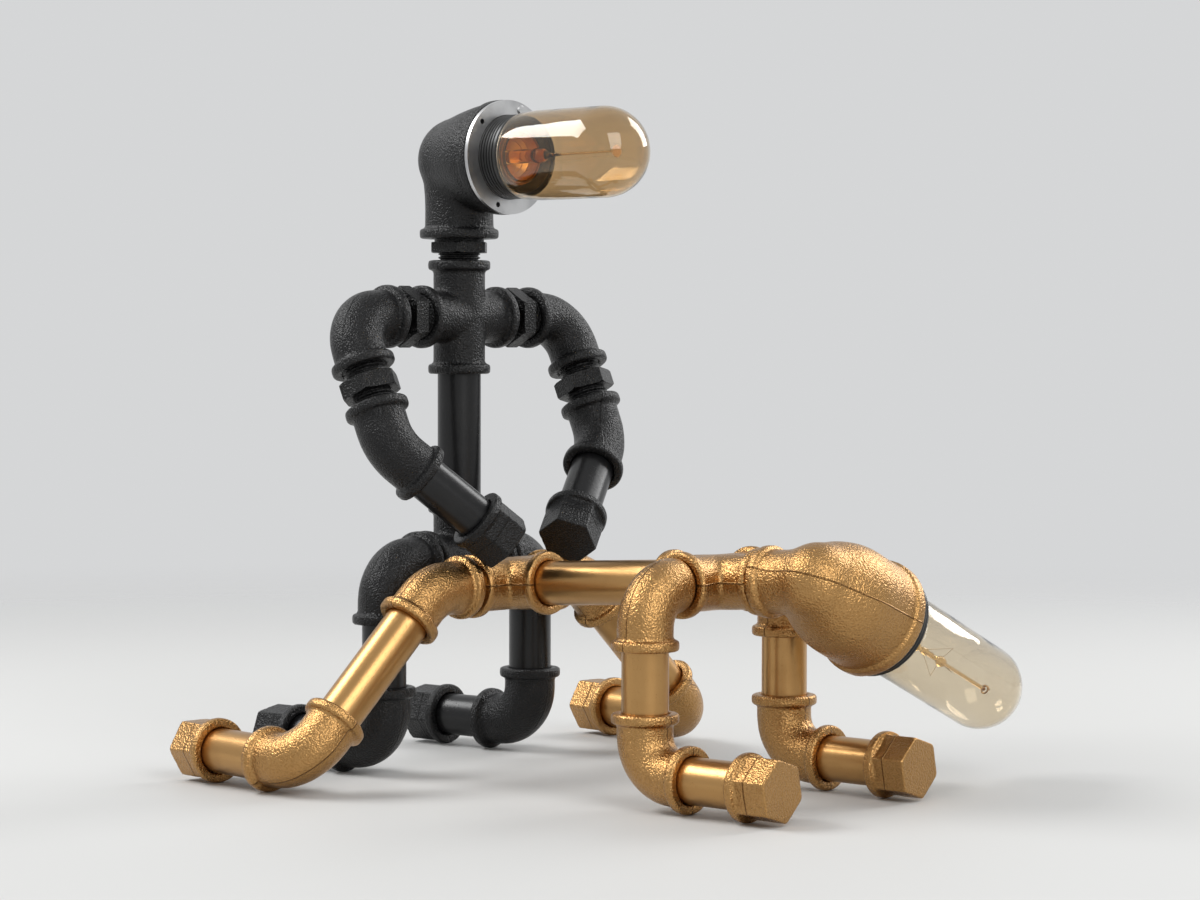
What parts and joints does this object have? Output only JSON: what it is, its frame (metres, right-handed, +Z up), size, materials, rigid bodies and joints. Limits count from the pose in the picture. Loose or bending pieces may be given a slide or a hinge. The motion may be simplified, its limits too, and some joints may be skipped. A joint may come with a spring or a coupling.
{
  "type": "industrial pipe table lamp",
  "caption": "Free-standing table lamps made of pipe fittings and posed together: one on hands and knees, one kneeling upright behind it, each with a tubular bulb for a face.",
  "frame": {"origin": "under the middle of the pair's box, on the surface that both lamps stand on", "axes": "+X is where both lamps face, +Z is up, +Y is the side to which the gold lamp's head looks"},
  "size_m": [0.3314, 0.2944, 0.3259],
  "materials": {
    "black_cast": "cast fittings under a semi-gloss black finish",
    "black_pipe": "smooth pipe under a satin black finish",
    "gold_cast": "cast fittings under a satin old-gold paint",
    "gold_pipe": "smooth pipe under a satin old-gold paint",
    "steel_ring": "satin",
    "holder_plastic": "matt black moulding",
    "screw_shell": "bright",
    "black_bulb_glass": "clear, amber tint",
    "gold_bulb_glass": "clear, pale amber tint",
    "black_bulb_stem": "clear stem with a fine filament",
    "gold_bulb_stem": "clear stem with a fine filament"
  },
  "bodies": {
    "root": {"black_far_hip_elbow": "black_cast", "black_far_knee_elbow": "black_cast", "black_foot_caps": "black_cast", "black_hip_nipples": "black_pipe", "black_hip_tee": "black_cast", "black_near_hip_elbow": "black_cast", "black_near_knee_elbow": "black_cast", "black_neck_nipple": "black_cast", "black_shin_nipples": "black_pipe", "black_shoulder_cross": "black_cast", "black_shoulder_nipples": "black_cast", "black_thigh_pipes": "black_pipe", "black_torso_pipe": "black_pipe", "gold_far_arm_pipe": "gold_pipe", "gold_far_hip_elbow": "gold_cast", "gold_far_knee_elbow": "gold_cast", "gold_far_shoulder_elbow": "gold_cast", "gold_far_thigh_pipe": "gold_pipe", "gold_far_wrist_elbow": "gold_cast", "gold_foot_caps": "gold_cast", "gold_forearm_nipples": "gold_pipe", "gold_hand_caps": "gold_cast", "gold_hip_nipples": "gold_pipe", "gold_hip_tee": "gold_cast", "gold_near_arm_pipe": "gold_pipe", "gold_near_hip_elbow": "gold_cast", "gold_near_knee_elbow": "gold_cast", "gold_near_shoulder_elbow": "gold_cast", "gold_near_thigh_pipe": "gold_pipe", "gold_near_wrist_elbow": "gold_cast", "gold_neck_nipple": "gold_pipe", "gold_shin_nipples": "gold_pipe", "gold_shoulder_cross": "gold_cast", "gold_spine_pipe": "gold_pipe"},
    "black_head": {"black_head_elbow": "black_cast", "black_head_ring": "steel_ring", "black_ring_screw": "steel_ring", "black_lampholder_body": "holder_plastic", "black_lampholder_collar": "holder_plastic", "black_lampholder_shell": "screw_shell"},
    "black_bulb": {"black_bulb_glass": "black_bulb_glass", "black_bulb_base": "screw_shell", "black_bulb_mount": "black_bulb_stem"},
    "black_near_arm": {"black_near_shoulder_elbow": "black_cast", "black_near_arm_nipple": "black_cast"},
    "black_near_forearm": {"black_near_arm_bend": "black_cast", "black_near_forearm_pipe": "black_pipe", "black_near_hand_cap": "black_cast"},
    "black_far_arm": {"black_far_shoulder_elbow": "black_cast", "black_far_arm_nipple": "black_cast"},
    "black_far_forearm": {"black_far_arm_bend": "black_cast", "black_far_forearm_pipe": "black_pipe", "black_far_hand_cap": "black_cast"},
    "gold_head": {"gold_head_elbow": "gold_cast", "gold_lampholder_body": "holder_plastic", "gold_lampholder_collar": "holder_plastic", "gold_lampholder_shell": "screw_shell"},
    "gold_bulb": {"gold_bulb_glass": "gold_bulb_glass", "gold_bulb_base": "screw_shell", "gold_bulb_mount": "gold_bulb_stem"}
  },
  "joints": [
    {"name": "black_head_turn", "type": "hinge", "parent": "root", "child": "black_head", "pos_m": [-0.08592, -0.00351, 0.2981], "axis": [0, 0, 1], "range_deg": [-90, 90]},
    {"name": "black_bulb_turn", "type": "hinge", "parent": "black_head", "child": "black_bulb", "pos_m": [-0.08592, -0.00351, 0.2981], "axis": [0.9981, -0.061, 0], "range_deg": [0, 360]},
    {"name": "black_near_arm_raise", "type": "hinge", "parent": "root", "child": "black_near_arm", "pos_m": [-0.08592, -0.00351, 0.2209], "axis": [-0.0262, -0.9997, 0], "range_deg": [0, 70]},
    {"name": "black_near_forearm_turn", "type": "hinge", "parent": "black_near_arm", "child": "black_near_forearm", "pos_m": [-0.08786, -0.07748, 0.2209], "axis": [0.4177, -0.0109, -0.9085], "range_deg": [0, 90]},
    {"name": "black_far_arm_raise", "type": "hinge", "parent": "root", "child": "black_far_arm", "pos_m": [-0.08592, -0.00351, 0.2209], "axis": [-0.0262, -0.9997, 0], "range_deg": [0, 70]},
    {"name": "black_far_forearm_turn", "type": "hinge", "parent": "black_far_arm", "child": "black_far_forearm", "pos_m": [-0.08399, 0.07047, 0.2209], "axis": [-0.4002, 0.0105, 0.9164], "range_deg": [0, 90]},
    {"name": "gold_head_turn", "type": "hinge", "parent": "root", "child": "gold_head", "pos_m": [0.13677, -0.00491, 0.10228], "axis": [0.9983, 0, 0.0576], "range_deg": [-8, 115]},
    {"name": "gold_bulb_turn", "type": "hinge", "parent": "gold_head", "child": "gold_bulb", "pos_m": [0.13677, -0.00491, 0.10228], "axis": [0.0241, 0.9085, -0.4172], "range_deg": [0, 360]}
  ]
}
